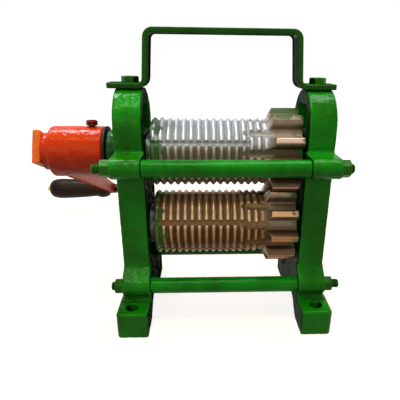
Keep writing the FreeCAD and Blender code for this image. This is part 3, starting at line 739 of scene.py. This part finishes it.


# Floor, lamps and camera
# A pale floor, painted darker near the object as shade and fading to white away from it, under an even
# sky. A small cool key lamp high behind the crank side gives the hub its highlight, a wide lamp overhead
# lights the tops, a thin warm tube in front draws lines on the round pieces, and a weak soft lamp fills
# the fronts.
pale_floor, tree, shader = new_material("pale_floor", Roughness=0.9)
shader.inputs["Base Color"].default_value = linear("#A89478")
shader.inputs["Specular IOR Level"].default_value = 0.0
rays = add(tree, "ShaderNodeLightPath")
seen = add(tree, "ShaderNodeMath", {"operation": "MAXIMUM"}, i0=rays.outputs["Is Camera Ray"],
           i1=rays.outputs["Is Transmission Ray"])
seen = add(tree, "ShaderNodeMath", {"operation": "MAXIMUM"}, i0=seen.outputs[0],
           i1=rays.outputs["Is Glossy Ray"])
floor_place = add(tree, "ShaderNodeTexCoord").outputs["Object"]
away = add(tree, "ShaderNodeVectorMath", {"operation": "LENGTH"}, i0=floor_place)
# Painted shade: the floor's emission is lower near the object and rises to white away from it.
glow = add(tree, "ShaderNodeMapRange", None, Value=away.outputs["Value"], From_Min=0.3, From_Max=1.0,
           To_Min=0.86, To_Max=1.0)
share = add(tree, "ShaderNodeMath", {"operation": "MULTIPLY"}, i0=seen.outputs[0], i1=glow.outputs[0])
tree.links.new(share.outputs[0], shader.inputs["Emission Strength"])
shader.inputs["Emission Color"].default_value = (1, 1, 1, 1)
side = 6.0
floor_mesh = bpy.data.meshes.new("floor")
corners = [(-side, -side, 0), (side, -side, 0), (side, side, 0), (-side, side, 0)]
floor_mesh.from_pydata(corners, [], [(0, 1, 2, 3)])
floor = bpy.data.objects.new("floor", floor_mesh)
bpy.context.scene.collection.objects.link(floor)
floor.data.materials.append(pale_floor)

world = bpy.data.worlds.new("sky")
bpy.context.scene.world = world
world.use_nodes = True
tree = world.node_tree
rays = add(tree, "ShaderNodeLightPath")
seen = add(tree, "ShaderNodeMath", {"operation": "MAXIMUM"}, i0=rays.outputs["Is Camera Ray"],
           i1=rays.outputs["Is Transmission Ray"])
seen = add(tree, "ShaderNodeMath", {"operation": "MAXIMUM"}, i0=seen.outputs[0],
           i1=rays.outputs["Is Glossy Ray"])
power = add(tree, "ShaderNodeMapRange", None, Value=seen.outputs[0], To_Min=0.14, To_Max=1.0)
tree.nodes["Background"].inputs["Color"].default_value = (1, 1, 1, 1)
tree.links.new(power.outputs[0], tree.nodes["Background"].inputs["Strength"])


def lamp(name, at, to, size, watts, code):
    """A rectangular lamp that looks from one place to another."""
    data = bpy.data.lights.new(name, "AREA")
    data.shape = "RECTANGLE"
    data.size, data.size_y = size
    data.energy = watts
    data.color = linear(code)[:3]
    obj = bpy.data.objects.new(name, data)
    bpy.context.scene.collection.objects.link(obj)
    way = np.array(to, float) - np.array(at, float)
    obj.location = at
    tilt = math.atan2(math.hypot(way[0], way[1]), -way[2])
    obj.rotation_euler = (tilt, 0, math.atan2(way[1], way[0]) - math.pi / 2)


lamp("key", (-0.55, 0.43, 1.33), (0, 0, 0.2), (0.30, 0.26), 9, "#F6F4FF")
lamp("overhead", (0.10, -0.10, 1.40), (0, 0, 0.2), (1.2, 0.4), 15, "#F0F8FF")
lamp("warm_tube", (-0.25, -0.50, 1.15), (-0.05, 0, 0.2), (1.4, 0.012), 4.0, "#FFD890")
lamp("soft_front", (-0.6, -1.3, 0.8), (0, 0, 0.2), (0.9, 0.6), 2.5, "#FFF0C8")

camera_place = (-0.02494, -0.5360, 0.34608)
camera_yaw = math.radians(2.76)
camera_pitch = math.radians(21.12)
camera_roll = math.radians(0.68)
focal_pixels = 402.18
principal = (223.95, 213.86)
picture = 400
view = bpy.data.cameras.new("camera")
view.sensor_width = 36
view.lens = focal_pixels / picture * view.sensor_width
view.shift_x = (picture / 2 - principal[0]) / picture
view.shift_y = (principal[1] - picture / 2) / picture
camera = bpy.data.objects.new("camera", view)
bpy.context.scene.collection.objects.link(camera)
right = np.array([math.cos(camera_yaw), -math.sin(camera_yaw), 0])
ahead = np.array([math.sin(camera_yaw) * math.cos(camera_pitch),
                  math.cos(camera_yaw) * math.cos(camera_pitch), -math.sin(camera_pitch)])
up = np.cross(right, ahead)
across = right * math.cos(camera_roll) + up * math.sin(camera_roll)
upward = -right * math.sin(camera_roll) + up * math.cos(camera_roll)
columns = np.stack([across, upward, -ahead, camera_place], -1)
camera.matrix_world = Matrix(columns.tolist() + [[0, 0, 0, 1]])
bpy.context.scene.camera = camera
bpy.context.scene.view_settings.view_transform = "Standard"
